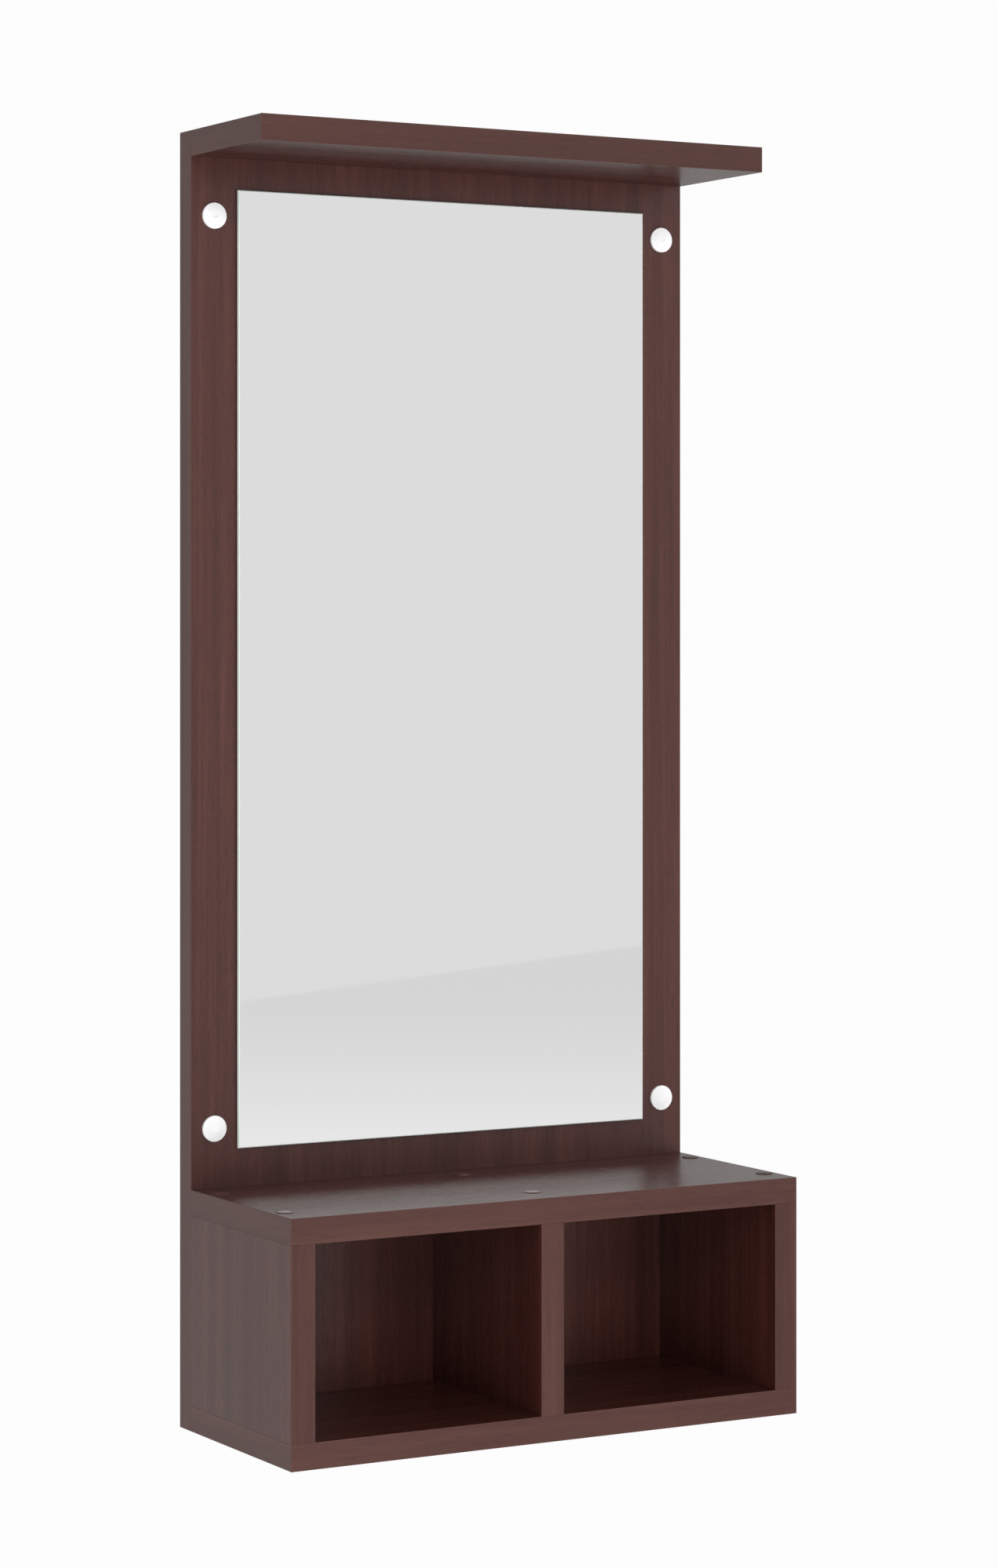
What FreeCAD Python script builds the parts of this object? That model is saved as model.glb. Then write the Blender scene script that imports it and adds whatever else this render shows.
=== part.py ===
import FreeCAD, Part
import math
import os

# Wall-mounted dressing table: back panel, top shelf, frameless mirror and a box of two cubbies.
# Millimetres. +X is to the right seen from the front, +Y towards the wall, +Z up.
# The origin is the centre of the four wall-screw holes, on the wall plane.

V = FreeCAD.Vector

# Overall size
WIDTH = 400.0
HEIGHT = 900.0

# Laminated board and its PVC edge band
BOARD = 18.0
BAND = 0.8
BAND_ROUND = 0.5

# Top shelf and cubby box, measured from the panel's front face
SHELF_DEPTH = 110.0
CUBBY_DEPTH = 154.0
CUBBY_CLEAR_HEIGHT = 131.0

# Mirror pane and the foam tape that carries it
MIRROR_SIDE_MARGIN = 35.0
MIRROR_GAP_BELOW = 27.0
MIRROR_GAP_ABOVE = 22.0
MIRROR_GLASS = 3.0
MIRROR_ARRIS = 0.6
TAPE_THICKNESS = 1.0
TAPE_WIDTH = 20.0
TAPE_SIDE_INSET = 22.0
TAPE_END_INSET = 30.0

# Wall-screw holes, in the side margins beside the mirror's corners
WALL_HOLE_R = 2.75
WALL_HOLE_ABOVE_MIRROR_FOOT = 14.5
WALL_HOLE_BELOW_MIRROR_HEAD = 18.5

# White snap cap over each wall screw, and the washer that it snaps over
SNAP_CAP_R = 9.0
SNAP_CAP_RIM = 1.8
SNAP_CAP_RISE = 1.6
SNAP_CAP_WALL = 1.2
SNAP_FIT = 0.15
WASHER_GAP = 0.3
WASHER_BORE_R = 2.5
WASHER_SINK_R = 4.4
WASHER_SINK_DEPTH = 1.2

# One-piece connector screw, 7 x 50, with a hexagon socket
SCREW_LENGTH = 50.0
SCREW_HEAD_R = 5.0
SCREW_HEAD_RIM = 0.6
SCREW_HEAD_HEIGHT = 3.4
SCREW_COLLAR_LENGTH = 14.0
SCREW_THREAD_R = 3.5
SCREW_CORE_R = 2.5
SCREW_PITCH = 3.0
SCREW_TIP = 4.0
SCREW_SOCKET_R = 2.3
SCREW_SOCKET_DEPTH = 2.6
SCREW_SINK = 0.3
SCREW_FIT = 0.1
THREAD_ROOT_START_SHARE = 0.3
THREAD_ROOT_END_SHARE = 0.7

# Where the screws go
UPRIGHT_SCREW_INSET = 28.0
SHELF_SCREW_INSET = 50.0

# Wenge-coloured cap on each screw of the cubby top, plugged into the screw's socket
PLUG_CAP_R = 6.0
PLUG_CAP_RIM = 0.5
PLUG_CAP_RISE = 0.9
PLUG_CAP_PEG_R = 2.15
PLUG_CAP_PEG = 2.0

# One overrun for every cut, and the tolerance for picking edges
OVERRUN = 1.0
SAME_PLACE = 0.001

# Heights worked out from the sizes above
CUBBY_HEIGHT = 2 * BOARD + CUBBY_CLEAR_HEIGHT
MIRROR_FOOT = CUBBY_HEIGHT + MIRROR_GAP_BELOW
MIRROR_HEAD = HEIGHT - BOARD - MIRROR_GAP_ABOVE
LOW_HOLE_HEIGHT = MIRROR_FOOT + WALL_HOLE_ABOVE_MIRROR_FOOT
HIGH_HOLE_HEIGHT = MIRROR_HEAD - WALL_HOLE_BELOW_MIRROR_HEAD
ORIGIN_HEIGHT = (LOW_HOLE_HEIGHT + HIGH_HOLE_HEIGHT) / 2

# Planes in the part's own frame
HALF_WIDTH = WIDTH / 2
FOOT_Z = -ORIGIN_HEIGHT
HEAD_Z = FOOT_Z + HEIGHT
CUBBY_HEAD_Z = FOOT_Z + CUBBY_HEIGHT
PANEL_Y = -BOARD
MIRROR_HALF = HALF_WIDTH - MIRROR_SIDE_MARGIN
WALL_HOLE_X = HALF_WIDTH - MIRROR_SIDE_MARGIN / 2
UPRIGHT_X = HALF_WIDTH - BOARD / 2
TAPE_Y = PANEL_Y - TAPE_THICKNESS

# Directions that a screw or cap can point in, from its foot out through its head
TO_FRONT = FreeCAD.Rotation(V(1, 0, 0), 90)
TO_WALL = FreeCAD.Rotation(V(1, 0, 0), -90)
UP = FreeCAD.Rotation()
DOWN = FreeCAD.Rotation(V(1, 0, 0), 180)


def block(spans):
    """A box between a (low, high) pair along each of X, Y and Z."""
    size = [high - low for low, high in spans]
    corner = [low for low, high in spans]
    return Part.makeBox(*size, V(*corner))


def turned(outline):
    """A solid turned about Z from (radius, height) points, arcs given as three points."""
    edges = []
    for step in outline:
        points = [V(radius, 0, height) for radius, height in step]
        if len(points) == 3:
            edges.append(Part.Arc(*points).toShape())
        else:
            edges.append(Part.makeLine(*points))
    face = Part.Face(Part.Wire(edges))
    return face.revolve(V(0, 0, 0), V(0, 0, 1), 360)


def polyline(points):
    """The closed run of straight steps through the points."""
    return list(zip(points, points[1:] + points[:1]))


def placed(shape, place, direction):
    """A copy of the shape with its origin at the place, pointing in the direction."""
    copy = shape.copy()
    copy.Placement = FreeCAD.Placement(V(*place), direction)
    return copy


def cut_from(shape, tools):
    """The shape less all the tools."""
    return shape.cut(tools) if tools else shape


def dome_arc(radius, foot, rise):
    """Three points of a spherical cap's outline, from its rim to its top."""
    sphere = (radius ** 2 + rise ** 2) / (2 * rise)
    half_angle = math.asin(radius / sphere) / 2
    middle = (sphere * math.sin(half_angle), foot + rise - sphere * (1 - math.cos(half_angle)))
    return (radius, foot), middle, (0, foot + rise)


def hexagon(across_corners_r, low, high):
    """A hexagonal prism about Z."""
    turns = [math.radians(60 * corner) for corner in range(6)]
    points = [V(across_corners_r * math.cos(a), across_corners_r * math.sin(a), low) for a in turns]
    face = Part.Face(Part.makePolygon(points + points[:1]))
    return face.extrude(V(0, 0, high - low))


# Which way the band on each side faces
FACING = {"left": "-X", "right": "+X", "front": "-Y", "bottom": "-Z", "top": "+Z"}


def edge_band(spans, side, round_ends):
    """One strip on a side of the spans, with its outer corners rounded, and the spans left behind it."""
    sign, letter = FACING[side]
    axis = "XYZ".index(letter)
    low, high = spans[axis]
    strip_spans = list(spans)
    rest = list(spans)
    if sign == "-":
        outer = low
        strip_spans[axis] = (low, low + BAND)
        rest[axis] = (low + BAND, high)
    else:
        outer = high
        strip_spans[axis] = (high - BAND, high)
        rest[axis] = (low, high - BAND)
    strip = block(strip_spans)
    corners = []
    for edge in strip.Edges:
        if all(abs(vertex.Point[axis] - outer) < SAME_PLACE for vertex in edge.Vertexes):
            corners.append(edge)
    longest = max(edge.Length for edge in corners)
    rounded = [edge for edge in corners if round_ends or edge.Length > longest - SAME_PLACE]
    return strip.makeFillet(BAND_ROUND, rounded), rest


def banded_board(name, spans, bands, holes):
    """A board less its bands and holes, and one node for each band."""
    nodes = {}
    for side, round_ends in bands:
        nodes[name + "_band_" + side], spans = edge_band(spans, side, round_ends)
    nodes[name] = cut_from(block(spans), holes)
    return nodes


def connector_screw():
    """The screw with its head's top at the origin and its shank down -Z."""
    points = [(0, 0), (SCREW_HEAD_R, 0), (SCREW_HEAD_R, -SCREW_HEAD_RIM)]
    points.append((SCREW_THREAD_R, -SCREW_HEAD_HEIGHT))
    points.append((SCREW_THREAD_R, -SCREW_COLLAR_LENGTH))
    thread_end = SCREW_LENGTH - SCREW_TIP
    turns = int((thread_end - SCREW_COLLAR_LENGTH) / SCREW_PITCH)
    for turn in range(turns):
        top = SCREW_COLLAR_LENGTH + turn * SCREW_PITCH
        points.append((SCREW_CORE_R, -top - SCREW_PITCH * THREAD_ROOT_START_SHARE))
        points.append((SCREW_CORE_R, -top - SCREW_PITCH * THREAD_ROOT_END_SHARE))
        points.append((SCREW_THREAD_R, -top - SCREW_PITCH))
    points.append((SCREW_CORE_R, -thread_end))
    points.append((0, -SCREW_LENGTH))
    body = turned(polyline(points))
    return body.cut(hexagon(SCREW_SOCKET_R, -SCREW_SOCKET_DEPTH, OVERRUN))


def screw_hole():
    """The hole that a sunk screw fills, from the board's face at the origin down -Z."""
    head_r = SCREW_HEAD_R + SCREW_FIT
    shank_r = SCREW_THREAD_R + SCREW_FIT
    rim = SCREW_SINK + SCREW_HEAD_RIM + SCREW_FIT
    cone = SCREW_SINK + SCREW_HEAD_HEIGHT + SCREW_FIT
    end = SCREW_SINK + SCREW_LENGTH + SCREW_FIT
    points = [(0, OVERRUN), (head_r, OVERRUN), (head_r, -rim), (shank_r, -cone), (shank_r, -end), (0, -end)]
    return turned(polyline(points))


def plug_cap():
    """A low screw cap with its underside at the origin and its peg down -Z."""
    rim, middle, top = dome_arc(PLUG_CAP_R, PLUG_CAP_RIM, PLUG_CAP_RISE)
    outline = [((0, 0), (PLUG_CAP_R, 0)), ((PLUG_CAP_R, 0), rim), (rim, middle, top), (top, (0, 0))]
    return turned(outline).fuse(hexagon(PLUG_CAP_PEG_R, -PLUG_CAP_PEG, 0))


def snap_cap():
    """The white cap: a hollow dome with its rim at the origin."""
    rim, middle, top = dome_arc(SNAP_CAP_R, SNAP_CAP_RIM, SNAP_CAP_RISE)
    inner_r = SNAP_CAP_R - SNAP_CAP_WALL
    inner_foot, inner_middle, inner_top = dome_arc(inner_r, SNAP_CAP_RIM, SNAP_CAP_RISE - SNAP_CAP_WALL)
    outline = [((inner_r, 0), (SNAP_CAP_R, 0)), ((SNAP_CAP_R, 0), rim), (rim, middle, top)]
    outline += [(top, inner_top), (inner_top, inner_middle, inner_foot), (inner_foot, (inner_r, 0))]
    return turned(outline)


def snap_washer():
    """The ring under a wall screw's head that a snap cap grips, with its foot at the origin."""
    outer_r = SNAP_CAP_R - SNAP_CAP_WALL - SNAP_FIT
    height = SNAP_CAP_RIM - WASHER_GAP
    sink_foot = height - WASHER_SINK_DEPTH
    points = [(WASHER_BORE_R, 0), (outer_r, 0), (outer_r, height)]
    points += [(WASHER_SINK_R, height), (WASHER_BORE_R, sink_foot)]
    return turned(polyline(points))


def wall_hole_places():
    """The four wall-screw holes, on the wall plane."""
    low = FOOT_Z + LOW_HOLE_HEIGHT
    high = FOOT_Z + HIGH_HOLE_HEIGHT
    return [(x, 0, z) for x in (-WALL_HOLE_X, WALL_HOLE_X) for z in (low, high)]


def upright_screw_places(z):
    """Two screws on each upright's centre line, at the given height."""
    back = PANEL_Y - UPRIGHT_SCREW_INSET
    front = PANEL_Y - CUBBY_DEPTH + UPRIGHT_SCREW_INSET
    return [(x, y, z) for x in (-UPRIGHT_X, 0, UPRIGHT_X) for y in (back, front)]


def shelf_screw_places():
    """Three screws from behind into the shelf."""
    reach = HALF_WIDTH - SHELF_SCREW_INSET
    return [(x, 0, HEAD_Z - BOARD / 2) for x in (-reach, 0, reach)]


def cubby_rear_screw_places(z):
    """Two screws from behind into a cubby board, one above the middle of each cubby."""
    return [(x, 0, z) for x in (-UPRIGHT_X / 2, UPRIGHT_X / 2)]


def sunk(places, direction):
    """The places moved below the surface by the screws' sink."""
    inward = direction.multVec(V(0, 0, -SCREW_SINK))
    return [tuple(V(*place) + inward) for place in places]


def group(shape, places, direction):
    """One solid at each place, as one node."""
    return Part.makeCompound([placed(shape, place, direction) for place in places])


def holes(places, direction):
    """A screw hole at each place."""
    return [placed(screw_hole(), place, direction) for place in places]


def wall_holes():
    """The plain holes through the panel for the wall screws."""
    length = BOARD + 2 * OVERRUN
    drill = Part.makeCylinder(WALL_HOLE_R, length, V(0, 0, -OVERRUN))
    return [placed(drill, place, TO_FRONT) for place in wall_hole_places()]


def mirror():
    """The pane on its tape, with the front corners ground to an arris."""
    front = TAPE_Y - MIRROR_GLASS
    pane = block([(-MIRROR_HALF, MIRROR_HALF), (front, TAPE_Y), (FOOT_Z + MIRROR_FOOT, FOOT_Z + MIRROR_HEAD)])
    corners = []
    for edge in pane.Edges:
        if all(abs(vertex.Y - front) < SAME_PLACE for vertex in edge.Vertexes):
            corners.append(edge)
    return pane.makeChamfer(MIRROR_ARRIS, corners)


def mirror_tape():
    """Three upright strips of foam tape between the panel and the pane."""
    foot = FOOT_Z + MIRROR_FOOT + TAPE_END_INSET
    head = FOOT_Z + MIRROR_HEAD - TAPE_END_INSET
    reach = MIRROR_HALF - TAPE_SIDE_INSET - TAPE_WIDTH / 2
    strips = []
    for x in (-reach, 0, reach):
        spans = [(x - TAPE_WIDTH / 2, x + TAPE_WIDTH / 2), (TAPE_Y, PANEL_Y), (foot, head)]
        strips.append(block(spans))
    return Part.makeCompound(strips)


def boards():
    """Every board and its edge bands."""
    full_x = (-HALF_WIDTH, HALF_WIDTH)
    cubby_y = (PANEL_Y - CUBBY_DEPTH, PANEL_Y)
    shelf_holes = holes(shelf_screw_places(), TO_WALL)
    top_mid = CUBBY_HEAD_Z - BOARD / 2
    bottom_mid = FOOT_Z + BOARD / 2
    top_rear_holes = holes(cubby_rear_screw_places(top_mid), TO_WALL)
    bottom_rear_holes = holes(cubby_rear_screw_places(bottom_mid), TO_WALL)
    top_holes = holes(upright_screw_places(CUBBY_HEAD_Z), UP)
    bottom_holes = holes(upright_screw_places(FOOT_Z), DOWN)

    nodes = {}
    panel_bands = [("left", True), ("right", True), ("top", False), ("bottom", False)]
    panel_spans = [full_x, (PANEL_Y, 0), (FOOT_Z, HEAD_Z)]
    panel_holes = wall_holes() + shelf_holes + top_rear_holes + bottom_rear_holes
    nodes.update(banded_board("back_panel", panel_spans, panel_bands, panel_holes))

    shelf_bands = [("front", True), ("left", False), ("right", False)]
    shelf_spans = [full_x, (PANEL_Y - SHELF_DEPTH, PANEL_Y), (HEAD_Z - BOARD, HEAD_Z)]
    nodes.update(banded_board("top_shelf", shelf_spans, shelf_bands, shelf_holes))

    top_spans = [full_x, cubby_y, (CUBBY_HEAD_Z - BOARD, CUBBY_HEAD_Z)]
    nodes.update(banded_board("cubby_top", top_spans, shelf_bands, top_holes + top_rear_holes))

    bottom_spans = [full_x, cubby_y, (FOOT_Z, FOOT_Z + BOARD)]
    nodes.update(banded_board("cubby_bottom", bottom_spans, shelf_bands, bottom_holes + bottom_rear_holes))

    upright_z = (FOOT_Z + BOARD, CUBBY_HEAD_Z - BOARD)
    uprights = {"cubby_side_left": -UPRIGHT_X, "cubby_divider": 0, "cubby_side_right": UPRIGHT_X}
    for name, x in uprights.items():
        spans = [(x - BOARD / 2, x + BOARD / 2), cubby_y, upright_z]
        nodes.update(banded_board(name, spans, [("front", False)], top_holes + bottom_holes))
    return nodes


def hardware():
    """Screws, caps and washers."""
    screw = connector_screw()
    top_places = upright_screw_places(CUBBY_HEAD_Z)
    bottom_places = upright_screw_places(FOOT_Z)
    top_rear = cubby_rear_screw_places(CUBBY_HEAD_Z - BOARD / 2)
    bottom_rear = cubby_rear_screw_places(FOOT_Z + BOARD / 2)
    front_places = [(x, PANEL_Y, z) for x, y, z in wall_hole_places()]
    return {
        "cubby_top_screws": group(screw, sunk(top_places, UP), UP),
        "cubby_top_screw_caps": group(plug_cap(), top_places, UP),
        "cubby_bottom_screws": group(screw, sunk(bottom_places, DOWN), DOWN),
        "shelf_rear_screws": group(screw, sunk(shelf_screw_places(), TO_WALL), TO_WALL),
        "cubby_top_rear_screws": group(screw, sunk(top_rear, TO_WALL), TO_WALL),
        "cubby_bottom_rear_screws": group(screw, sunk(bottom_rear, TO_WALL), TO_WALL),
        "wall_screw_washers": group(snap_washer(), front_places, TO_FRONT),
        "wall_screw_caps": group(snap_cap(), front_places, TO_FRONT),
    }


def main():
    nodes = boards()
    nodes["mirror"] = mirror()
    nodes["mirror_tape"] = mirror_tape()
    nodes.update(hardware())
    os.makedirs("parts", exist_ok=True)
    for name, shape in sorted(nodes.items()):
        shape.exportStep("parts/" + name + ".step")
        print(name, len(shape.Solids), "solids, valid:", shape.isValid(), "volume:", round(shape.Volume, 1))


main()
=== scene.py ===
import math

import bpy
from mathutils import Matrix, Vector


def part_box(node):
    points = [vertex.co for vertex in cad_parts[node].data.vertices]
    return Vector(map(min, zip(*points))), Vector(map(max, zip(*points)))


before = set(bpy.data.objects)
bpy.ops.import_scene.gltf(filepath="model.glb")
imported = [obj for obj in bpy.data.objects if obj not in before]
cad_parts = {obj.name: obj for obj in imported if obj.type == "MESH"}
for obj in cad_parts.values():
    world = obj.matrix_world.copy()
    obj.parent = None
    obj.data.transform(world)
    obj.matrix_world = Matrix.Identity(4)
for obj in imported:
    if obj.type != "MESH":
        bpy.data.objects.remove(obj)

# Materials, studio and camera for the wall-mounted dressing table, in metres in the CAD frame.

X, Y, Z = 0, 1, 2

# Camera, fitted to the photograph's edges
CAMERA_PLACE = (-1.3957, -2.5446, 0.0376)
CAMERA_TURN = 0.5182
CAMERA_LENS = 92.547
CAMERA_SHIFT_UP = -0.1059
CAMERA_REACH = 100.0

# Studio: its level to the camera and as light on the object
WHITE = 0.98
FILL = 0.53

# Studio seen in gloss: levels low down and high up, behind the object and before it
AHEAD = (-0.35, -0.937, 0.0)
GLOSS_TURN = (-1.0, -0.4)
GLOSS_BEHIND = (0.42, 0.80)
GLOSS_BEFORE = (0.795, 0.60)
BEHIND_RISE = (0.12, 0.40)
BEFORE_FALL = (0.11, 0.25)

# Soft box seen in gloss: its direction, and its level by the cosine of the angle from there
SOFT_BOX = (0.4246, -0.7447, 0.5150)
SOFT_BOX_SPAN = (0.961, 0.993, 0.0, 1.9)

# Floor: its place, extent and finish, how far shadows show, and factors that drop the height
FLOOR_DROP = 0.75
FLOOR_TURN = math.radians(28.76)
FLOOR_FRONT = 6.445
FLOOR_BACK = 16.0
FLOOR_SIDE = 18.0
FLOOR_COLOUR = (0.90, 0.90, 0.90, 1)
FLOOR_ROUGHNESS = 0.7
SHADOW_REACH = (0.8, 2.2)
ON_PLAN = (1.0, 1.0, 0.0)

# Floor seen in gloss: grey far off on the mirror's side, lighter towards the object, then dim
FLOOR_AHEAD = (0.495, -0.869, 0.0)
FLOOR_AHEAD_SPAN = (11.75, 7.2)
FLOOR_FAR_GREY = 0.735
FLOOR_RISE = 0.155
FLOOR_DIM = 0.62
FLOOR_DIM_FAR = (6.9, 4.9)
FLOOR_DIM_NEAR = (2.0, 4.2)

# Lamps: place, side length and power in watts
LAMPS = {
    "low_right": ((0.90, -3.00, -0.85), 0.8, 26.0),
    "low_left": ((-1.60, -2.40, -0.85), 0.8, 15.0),
    "high_front": ((-0.55, -2.86, 1.10), 0.8, 21.0),
    "left": ((-3.20, -0.40, 0.20), 1.2, 12.5),
    "right": ((3.20, -0.40, 0.20), 1.2, 30.0),
    "rear": ((0.30, 3.40, 0.20), 2.4, 34.0),
}

# Wenge print, linear colours
WENGE_DARK = (0.0396, 0.0111, 0.0083, 1)
WENGE_MID = (0.0653, 0.0189, 0.0143, 1)
WENGE_LIGHT = (0.0970, 0.0318, 0.0238, 1)
WENGE_PORE = (0.0238, 0.0071, 0.0058, 1)
BAND_TINT = (1.03, 1.14, 1.14)
BURNISH = (0.1250, 0.0480, 0.0380, 1)
CORE_DARK = (0.200, 0.125, 0.062, 1)
CORE_LIGHT = (0.520, 0.385, 0.230, 1)

# Wenge print: the size of its marks across the grain and along it
FIGURE = (0.016, 0.50)
STRIPE = (0.0030, 0.20)
FIBRE = (0.0008, 0.035)
PORES = (0.00055, 0.012)

# Wenge print: what each kind of mark adds to the tone, and how far the grain strays
FIGURE_SHARE = 0.56
STRIPE_SHARE = 0.28
FIBRE_SHARE = 0.16
PORE_SPAN = (0.60, 0.70)
PORE_SHARE = 0.5
SWAY = 0.006

# Boards and bands: half the tone's range, roughness by the fibre, relief and worn edges
LAMINATE_RANGE = 0.19
LAMINATE_ROUGHNESS = (0.24, 0.32)
LAMINATE_FIBRE_HEIGHT = 0.35
PORE_ROUGHNESS = 0.10
BAND_RANGE = 0.24
BAND_ROUGHNESS = (0.33, 0.41)
BAND_FIBRE_HEIGHT = 0.5
FIBRE_SPAN = (0.25, 0.75)
WOOD_RELIEF = 0.00002
FACE_SPAN = (0.45, 0.55)
WORN_SPAN = (0.98, 0.80)
WORN_SHARE = 0.45
WORN_POLISH = 0.2

# Mirror: what tells its front and back from its edge, their colours and their roughness
SILVER_FACING = (-0.95, -0.99)
PAINT_FACING = (0.6, 0.9)
SILVER = (0.90, 0.90, 0.90, 1)
# Glass edge: its own grey-green, made pale near-white with painted light that stands in for
# light carried from the silvering
GLASS_EDGE_AND_PAINTED_LIGHT = ((0.76, 0.84, 0.80, 1), (0.86, 0.91, 0.88, 1))
MIRROR_PAINT = (0.30, 0.31, 0.32, 1)
MIRROR_ROUGHNESS = (0.010, 0.022)
EDGE_ROUGHNESS = 0.22
PAINT_ROUGHNESS = 0.4

# Plastics: colour, its shade in the flow marks, roughness and relief
WHITE_CAP = ((0.910, 0.905, 0.912, 1), (0.895, 0.890, 0.897, 1), 0.24, 0.000006)
NYLON = ((0.78, 0.77, 0.72, 1), (0.70, 0.69, 0.64, 1), 0.45, 0.000010)
BROWN_CAP = ((0.085, 0.030, 0.023, 1), (0.070, 0.023, 0.018, 1), 0.36, 0.000008)
PLASTIC_ROUGHNESS_STEP = 0.05

# Zinc plate and foam: colour by the noise's level, roughness and relief
ZINC_STOPS = (
    (0.35, (0.52, 0.54, 0.57, 1)),
    (0.50, (0.62, 0.63, 0.63, 1)),
    (0.68, (0.68, 0.65, 0.56, 1)),
)
ZINC_ROUGHNESS = (0.24, 0.40)
ZINC_RELIEF = 0.00001
FOAM_COLOURS = ((0.74, 0.74, 0.72, 1), (0.86, 0.86, 0.84, 1))
FOAM_ROUGHNESS = (0.80, 0.95)
FOAM_RELIEF = 0.00010

# Noise: marks per metre along x, y and z, and the levels between which it counts
GRAIN_DRIFT = (4.0, 4.0, 4.0)
CHIPS = (520.0, 520.0, 300.0)
HAZE = (9.0, 9.0, 6.0)
FLOW_MARKS = (160.0, 160.0, 160.0)
ERODED_SKIN = (3500.0, 3500.0, 3500.0)
ZINC_CLOUDS = (260.0, 260.0, 260.0)
ROLLED_MARKS = (2400.0, 2400.0, 2400.0)
BUBBLES = (2200.0, 2200.0, 2200.0)
NOISE_SPAN = (0.3, 0.7)


class Nodes:
    """A node tree whose calls each add nodes and return the output."""

    def __init__(self, owner):
        owner.use_nodes = True
        self.tree = owner.node_tree
        self.tree.nodes.clear()

    def add(self, kind, inputs=None, out=0, **settings):
        node = self.tree.nodes.new(kind)
        for key, value in settings.items():
            setattr(node, key, value)
        for key, value in (inputs or {}).items():
            self.feed(node.inputs[key], value)
        return node.outputs[out]

    def feed(self, socket, value):
        if isinstance(value, bpy.types.NodeSocket):
            self.tree.links.new(value, socket)
        else:
            socket.default_value = value

    def maths(self, operation, first, second=0.0):
        return self.add("ShaderNodeMath", {0: first, 1: second}, operation=operation)

    def vector(self, operation, first, second=(0.0, 0.0, 0.0), out=0):
        return self.add("ShaderNodeVectorMath", {0: first, 1: second}, out, operation=operation)

    def scaled(self, factors):
        """Object space, each axis times its factor."""
        return self.vector("MULTIPLY", self.place(), factors)

    def mix(self, share, first, second):
        return self.add("ShaderNodeMix", {0: share, 6: first, 7: second}, 2, data_type="RGBA")

    def noise(self, place, detail=2.0, roughness=0.5, out=0):
        inputs = {"Vector": place, "Scale": 1.0, "Detail": detail, "Roughness": roughness}
        return self.add("ShaderNodeTexNoise", inputs, out)

    def cells(self, place, out):
        return self.add("ShaderNodeTexVoronoi", {"Vector": place, "Scale": 1.0}, out)

    def span(self, value, low, high, to_low=0.0, to_high=1.0, smooth=False):
        inputs = {0: value, 1: low, 2: high, 3: to_low, 4: to_high}
        kind = "SMOOTHSTEP" if smooth else "LINEAR"
        return self.add("ShaderNodeMapRange", inputs, interpolation_type=kind)

    def blend(self, value, stops):
        """Colour by value: stops are (position, colour) from low to high."""
        ramp = self.tree.nodes.new("ShaderNodeValToRGB")
        self.feed(ramp.inputs[0], value)
        points = ramp.color_ramp.elements
        while len(points) < len(stops):
            points.new(0.5)
        for point, (position, colour) in zip(points, stops):
            point.position = position
            point.color = colour
        return ramp.outputs[0]

    def place(self):
        return self.add("ShaderNodeTexCoord", out="Object")

    def normal(self):
        return self.add("ShaderNodeNewGeometry", out="Normal")

    def part(self, vector, axis):
        return self.add("ShaderNodeSeparateXYZ", {0: vector}, axis)

    def ray(self, question):
        return self.add("ShaderNodeLightPath", out=question)

    def ahead(self, direction):
        return self.vector("DOT_PRODUCT", direction, AHEAD, "Value")

    def bump(self, height, depth):
        return self.add("ShaderNodeBump", {"Height": height, "Distance": depth, "Strength": 1.0})

    def glow(self, kind, level):
        return self.add(kind, {"Color": (1, 1, 1, 1), "Strength": level})

    def choose(self, share, first, second):
        return self.add("ShaderNodeMixShader", {0: share, 1: first, 2: second})

    def finish(self, surface, kind="ShaderNodeOutputMaterial"):
        self.feed(self.tree.nodes.new(kind).inputs["Surface"], surface)

    def principled(self, **inputs):
        named = {key.replace("_", " "): value for key, value in inputs.items()}
        self.finish(self.add("ShaderNodeBsdfPrincipled", named))


def grain_place(nodes, axis, mark):
    """Object space in which one unit is mark[0] across the grain and mark[1] along it."""
    drift = nodes.noise(nodes.scaled(GRAIN_DRIFT), detail=1.0, out="Color")
    sway = [SWAY] * 3
    sway[axis] = 0.0
    scale = [1 / mark[0]] * 3
    scale[axis] = 1 / mark[1]
    swayed = nodes.vector("ADD", nodes.place(), nodes.vector("MULTIPLY", drift, sway))
    return nodes.vector("MULTIPLY", swayed, scale)


def wood_print(nodes, axis, half_range):
    """The wenge print's colour, fibre and pores, with the grain along axis."""
    figure = nodes.noise(grain_place(nodes, axis, FIGURE), detail=4.0, roughness=0.55)
    stripe = nodes.noise(grain_place(nodes, axis, STRIPE), detail=3.0)
    fibre = nodes.noise(grain_place(nodes, axis, FIBRE))
    pore_noise = nodes.noise(grain_place(nodes, axis, PORES), detail=1.0)
    pores = nodes.span(pore_noise, *PORE_SPAN)
    tone = nodes.maths("MULTIPLY", figure, FIGURE_SHARE)
    tone = nodes.maths("ADD", tone, nodes.maths("MULTIPLY", stripe, STRIPE_SHARE))
    tone = nodes.maths("ADD", tone, nodes.maths("MULTIPLY", fibre, FIBRE_SHARE))
    ends = (0.5 - half_range, WENGE_DARK), (0.5 + half_range, WENGE_LIGHT)
    colour = nodes.blend(tone, (ends[0], (0.5, WENGE_MID), ends[1]))
    colour = nodes.mix(nodes.maths("MULTIPLY", pores, PORE_SHARE), colour, WENGE_PORE)
    return colour, fibre, pores


def chipboard(nodes):
    chips = nodes.part(nodes.cells(nodes.scaled(CHIPS), "Color"), X)
    return nodes.mix(chips, CORE_DARK, CORE_LIGHT)


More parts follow.
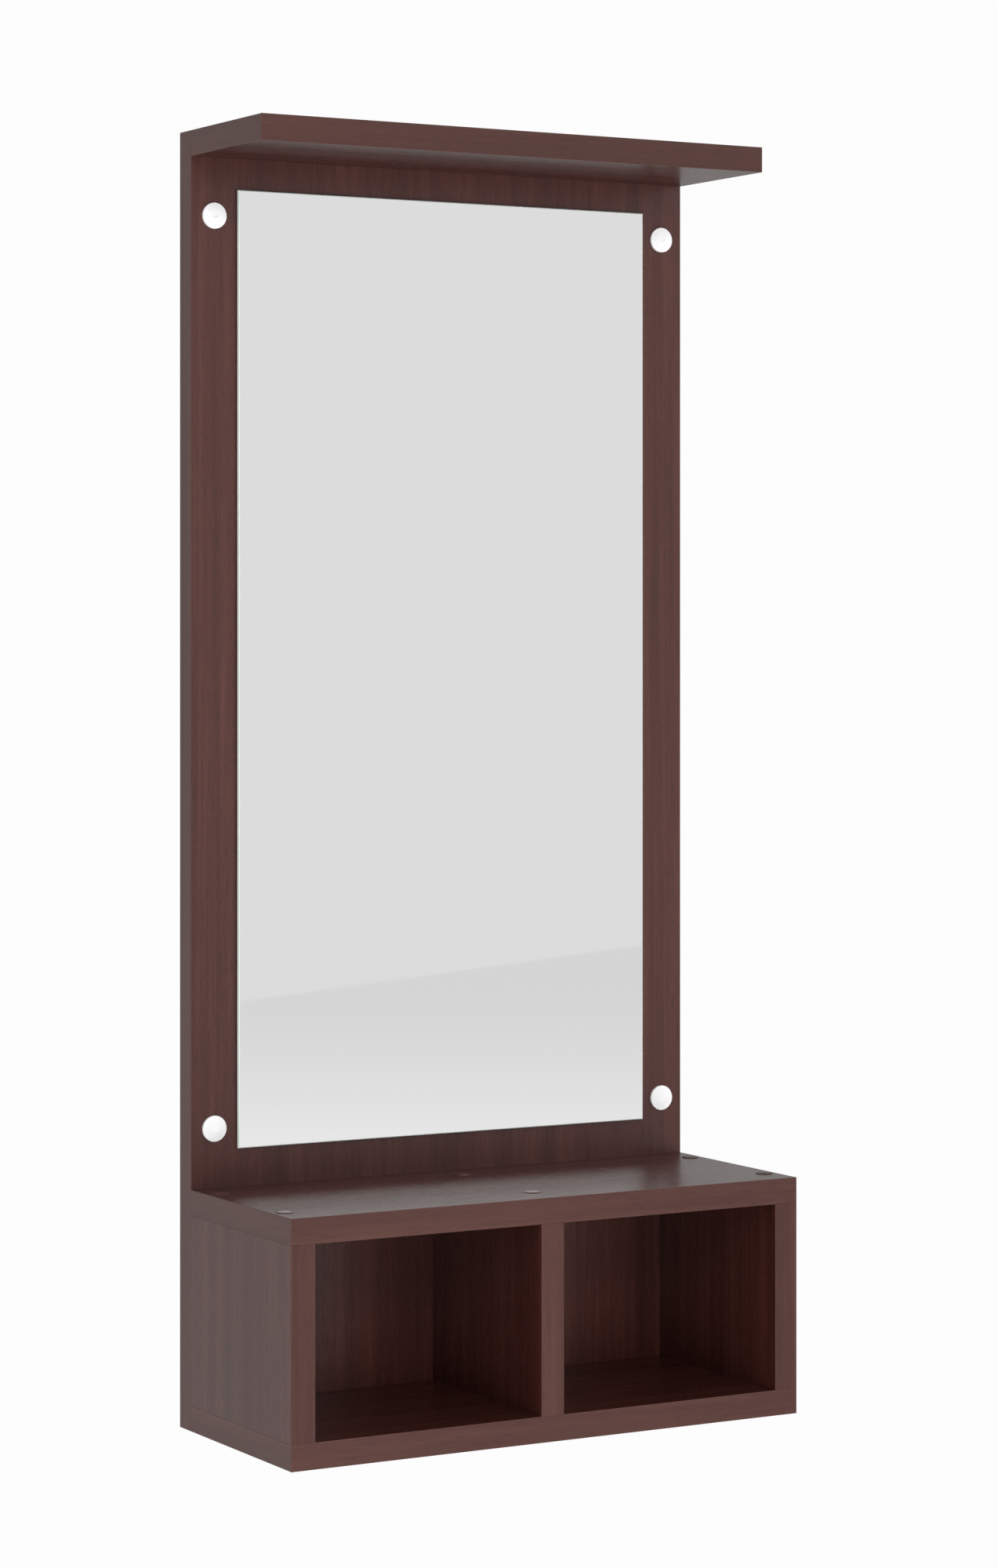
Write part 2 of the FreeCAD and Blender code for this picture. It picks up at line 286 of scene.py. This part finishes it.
def laminate(name, grain, face):
    """Board: wenge print on its two faces, chipboard in the walls of its drilled holes."""
    material = bpy.data.materials.new(name)
    nodes = Nodes(material)
    colour, fibre, pores = wood_print(nodes, grain, LAMINATE_RANGE)
    facing = nodes.maths("ABSOLUTE", nodes.part(nodes.normal(), face))
    skin = nodes.span(facing, *FACE_SPAN)
    roughness = nodes.span(fibre, *FIBRE_SPAN, *LAMINATE_ROUGHNESS)
    roughness = nodes.maths("ADD", roughness, nodes.maths("MULTIPLY", pores, PORE_ROUGHNESS))
    core_roughness = nodes.maths("SUBTRACT", 1.0, skin)
    height = nodes.maths("MULTIPLY", fibre, LAMINATE_FIBRE_HEIGHT)
    height = nodes.maths("SUBTRACT", height, pores)
    nodes.principled(
        Base_Color=nodes.mix(skin, chipboard(nodes), colour),
        Roughness=nodes.maths("MAXIMUM", roughness, core_roughness),
        Normal=nodes.bump(height, WOOD_RELIEF),
    )
    return material


def edge_band(name, grain):
    """PVC strip: the same print, calmer and a little paler, its rounded edges burnished."""
    material = bpy.data.materials.new(name)
    nodes = Nodes(material)
    colour, fibre, _ = wood_print(nodes, grain, BAND_RANGE)
    colour = nodes.vector("MULTIPLY", colour, BAND_TINT)
    normal = nodes.vector("ABSOLUTE", nodes.normal())
    widest = nodes.maths("MAXIMUM", nodes.part(normal, X), nodes.part(normal, Y))
    widest = nodes.maths("MAXIMUM", widest, nodes.part(normal, Z))
    worn = nodes.span(widest, *WORN_SPAN, 0.0, WORN_SHARE)
    roughness = nodes.span(fibre, *FIBRE_SPAN, *BAND_ROUGHNESS)
    polish = nodes.maths("MULTIPLY", worn, WORN_POLISH)
    nodes.principled(
        Base_Color=nodes.mix(worn, colour, BURNISH),
        Roughness=nodes.maths("SUBTRACT", roughness, polish),
        Normal=nodes.bump(nodes.maths("MULTIPLY", fibre, BAND_FIBRE_HEIGHT), WOOD_RELIEF),
    )
    return material


def silvered_glass():
    """Mirror: silvered front; arris and edge in the glass's grey-green, made pale by painted
    light from the silvering; grey painted back.
    """
    material = bpy.data.materials.new("silvered_glass")
    nodes = Nodes(material)
    depth = nodes.part(nodes.normal(), Y)
    silver = nodes.span(depth, *SILVER_FACING)
    back = nodes.span(depth, *PAINT_FACING)
    haze = nodes.noise(nodes.scaled(HAZE), detail=3.0)
    # Arris and edge: grey-green glass plus painted light from the silvering, varied by the haze
    edge_and_painted_light = nodes.mix(nodes.span(haze, *NOISE_SPAN), *GLASS_EDGE_AND_PAINTED_LIGHT)
    front = nodes.mix(silver, edge_and_painted_light, SILVER)
    roughness = nodes.span(haze, *NOISE_SPAN, *MIRROR_ROUGHNESS)
    roughness = nodes.maths("ADD", roughness, nodes.span(silver, 0.0, 1.0, EDGE_ROUGHNESS, 0.0))
    painted = nodes.maths("MULTIPLY", back, PAINT_ROUGHNESS)
    nodes.principled(
        Base_Color=nodes.mix(back, front, MIRROR_PAINT),
        Metallic=silver,
        Roughness=nodes.maths("ADD", roughness, painted),
    )
    return material


def moulded_plastic(name, colour, shade, roughness, relief):
    """Moulded plastic: a fine spark-eroded skin and faint flow marks."""
    material = bpy.data.materials.new(name)
    nodes = Nodes(material)
    flow = nodes.noise(nodes.scaled(FLOW_MARKS), detail=3.0)
    skin = nodes.noise(nodes.scaled(ERODED_SKIN))
    smooth, rough = roughness - PLASTIC_ROUGHNESS_STEP, roughness + PLASTIC_ROUGHNESS_STEP
    nodes.principled(
        Base_Color=nodes.mix(nodes.span(flow, *NOISE_SPAN), shade, colour),
        Roughness=nodes.span(skin, *NOISE_SPAN, smooth, rough),
        Normal=nodes.bump(skin, relief),
    )
    return material


def zinc_plate():
    """Zinc-plated steel: cool grey with faint passivation colour and rolled marks."""
    material = bpy.data.materials.new("zinc_plate")
    nodes = Nodes(material)
    cloud = nodes.noise(nodes.scaled(ZINC_CLOUDS), detail=3.0)
    marks = nodes.noise(nodes.scaled(ROLLED_MARKS))
    nodes.principled(
        Base_Color=nodes.blend(cloud, ZINC_STOPS),
        Metallic=1.0,
        Roughness=nodes.span(marks, *NOISE_SPAN, *ZINC_ROUGHNESS),
        Normal=nodes.bump(marks, ZINC_RELIEF),
    )
    return material


def foam():
    """Closed-cell foam tape."""
    material = bpy.data.materials.new("foam")
    nodes = Nodes(material)
    bubbles = nodes.cells(nodes.scaled(BUBBLES), "Distance")
    nodes.principled(
        Base_Color=nodes.mix(bubbles, *FOAM_COLOURS),
        Roughness=nodes.span(bubbles, 0.0, 1.0, *FOAM_ROUGHNESS),
        Normal=nodes.bump(bubbles, FOAM_RELIEF),
    )
    return material


def dress(material, *names):
    for name in names:
        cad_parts[name].material_slots[0].material = material


def dress_boards():
    dress(laminate("laminate_panel", Z, Y), "back_panel")
    dress(
        laminate("laminate_upright", Z, X),
        "cubby_side_left",
        "cubby_divider",
        "cubby_side_right",
    )
    dress(laminate("laminate_shelf", X, Z), "top_shelf", "cubby_top", "cubby_bottom")
    dress(
        edge_band("band_upright", Z),
        "back_panel_band_left",
        "back_panel_band_right",
        "cubby_side_left_band_front",
        "cubby_divider_band_front",
        "cubby_side_right_band_front",
    )
    dress(
        edge_band("band_lengthwise", X),
        "back_panel_band_top",
        "back_panel_band_bottom",
        "top_shelf_band_front",
        "cubby_top_band_front",
        "cubby_bottom_band_front",
    )
    dress(
        edge_band("band_crosswise", Y),
        "top_shelf_band_left",
        "top_shelf_band_right",
        "cubby_top_band_left",
        "cubby_top_band_right",
        "cubby_bottom_band_left",
        "cubby_bottom_band_right",
    )


def dress_fittings():
    dress(silvered_glass(), "mirror")
    dress(foam(), "mirror_tape")
    dress(moulded_plastic("white_cap", *WHITE_CAP), "wall_screw_caps")
    dress(moulded_plastic("nylon", *NYLON), "wall_screw_washers")
    dress(moulded_plastic("brown_cap", *BROWN_CAP), "cubby_top_screw_caps")
    dress(
        zinc_plate(),
        "cubby_top_screws",
        "cubby_bottom_screws",
        "shelf_rear_screws",
        "cubby_top_rear_screws",
        "cubby_bottom_rear_screws",
    )


def floor_gloss_level(nodes):
    """Level of the floor in reflections, by where on the floor the point is."""
    ahead = nodes.vector("DOT_PRODUCT", nodes.place(), FLOOR_AHEAD, "Value")
    near = nodes.span(ahead, *FLOOR_AHEAD_SPAN)
    rise = nodes.maths("MULTIPLY", nodes.maths("MULTIPLY", near, near), FLOOR_RISE)
    before = nodes.maths("ADD", rise, FLOOR_FAR_GREY)
    dim = nodes.span(ahead, *FLOOR_DIM_FAR, 0.0, FLOOR_DIM)
    dim = nodes.maths("MULTIPLY", dim, nodes.span(ahead, *FLOOR_DIM_NEAR))
    before = nodes.maths("SUBTRACT", before, dim)
    side = nodes.ahead(nodes.vector("NORMALIZE", nodes.scaled(ON_PLAN)))
    share = nodes.span(side, *GLOSS_TURN, GLOSS_BEHIND[0] / GLOSS_BEFORE[0], 1.0)
    return nodes.maths("MULTIPLY", before, share)


def floor_material():
    """Pale floor that keeps shadows near the object and is plain white further off."""
    material = bpy.data.materials.new("floor")
    nodes = Nodes(material)
    away = nodes.vector("LENGTH", nodes.scaled(ON_PLAN), out="Value")
    far = nodes.span(away, *SHADOW_REACH, smooth=True)
    seen_white = nodes.maths("MULTIPLY", nodes.ray("Is Camera Ray"), far)
    inputs = {"Base Color": FLOOR_COLOUR, "Roughness": FLOOR_ROUGHNESS}
    lit = nodes.add("ShaderNodeBsdfPrincipled", inputs)
    surface = nodes.choose(seen_white, lit, nodes.glow("ShaderNodeEmission", WHITE))
    mirrored = nodes.glow("ShaderNodeEmission", floor_gloss_level(nodes))
    nodes.finish(nodes.choose(nodes.ray("Is Glossy Ray"), surface, mirrored))
    return material


def add_floor():
    """One flat sheet below the hanging object, its front edge square to FLOOR_TURN."""
    level = min(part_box(name)[0].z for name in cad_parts) - FLOOR_DROP
    front = (-math.sin(FLOOR_TURN), -math.cos(FLOOR_TURN))
    side = (math.cos(FLOOR_TURN), -math.sin(FLOOR_TURN))
    outline = (FLOOR_FRONT, -1), (FLOOR_FRONT, 1), (-FLOOR_BACK, 1), (-FLOOR_BACK, -1)
    corners = []
    for reach, hand in outline:
        spread = hand * FLOOR_SIDE
        x = front[0] * reach + side[0] * spread
        y = front[1] * reach + side[1] * spread
        corners.append((x, y, level))
    mesh = bpy.data.meshes.new("floor")
    mesh.from_pydata(corners, [], [(0, 1, 2, 3)])
    mesh.materials.append(floor_material())
    floor = bpy.data.objects.new("floor", mesh)
    bpy.context.scene.collection.objects.link(floor)


def add_world():
    """White to the camera, an even fill as light, and in gloss a studio with a soft box."""
    world = bpy.data.worlds.new("studio")
    nodes = Nodes(world)
    direction = nodes.add("ShaderNodeTexCoord", out="Generated")
    height = nodes.part(direction, Z)
    behind = nodes.span(height, *BEHIND_RISE, *GLOSS_BEHIND)
    before = nodes.span(height, *BEFORE_FALL, *GLOSS_BEFORE)
    gloss = nodes.span(nodes.ahead(direction), *GLOSS_TURN, behind, before)
    box = nodes.vector("DOT_PRODUCT", direction, SOFT_BOX, "Value")
    gloss = nodes.maths("ADD", gloss, nodes.span(box, *SOFT_BOX_SPAN, smooth=True))
    kind = "ShaderNodeBackground"
    in_gloss = nodes.ray("Is Glossy Ray")
    light = nodes.choose(in_gloss, nodes.glow(kind, FILL), nodes.glow(kind, gloss))
    light = nodes.choose(nodes.ray("Is Camera Ray"), light, nodes.glow(kind, WHITE))
    nodes.finish(light, "ShaderNodeOutputWorld")
    bpy.context.scene.world = world


def add_lamp(name, place, side, power):
    lamp = bpy.data.lights.new(name, "AREA")
    lamp.size = side
    lamp.energy = power
    holder = bpy.data.objects.new(name, lamp)
    holder.location = place
    holder.rotation_euler = (-holder.location).to_track_quat("-Z", "Y").to_euler()
    holder.visible_glossy = False
    holder.visible_camera = False
    bpy.context.scene.collection.objects.link(holder)


def add_camera():
    data = bpy.data.cameras.new("camera")
    data.lens = CAMERA_LENS
    data.shift_y = CAMERA_SHIFT_UP
    data.clip_end = CAMERA_REACH
    camera = bpy.data.objects.new("camera", data)
    camera.location = CAMERA_PLACE
    camera.rotation_euler = (math.pi / 2, 0.0, -CAMERA_TURN)
    bpy.context.scene.collection.objects.link(camera)
    bpy.context.scene.camera = camera


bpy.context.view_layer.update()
bpy.context.scene.view_settings.view_transform = "Standard"
dress_boards()
dress_fittings()
add_floor()
add_world()
for name, (place, side, power) in LAMPS.items():
    add_lamp(name, place, side, power)
add_camera()
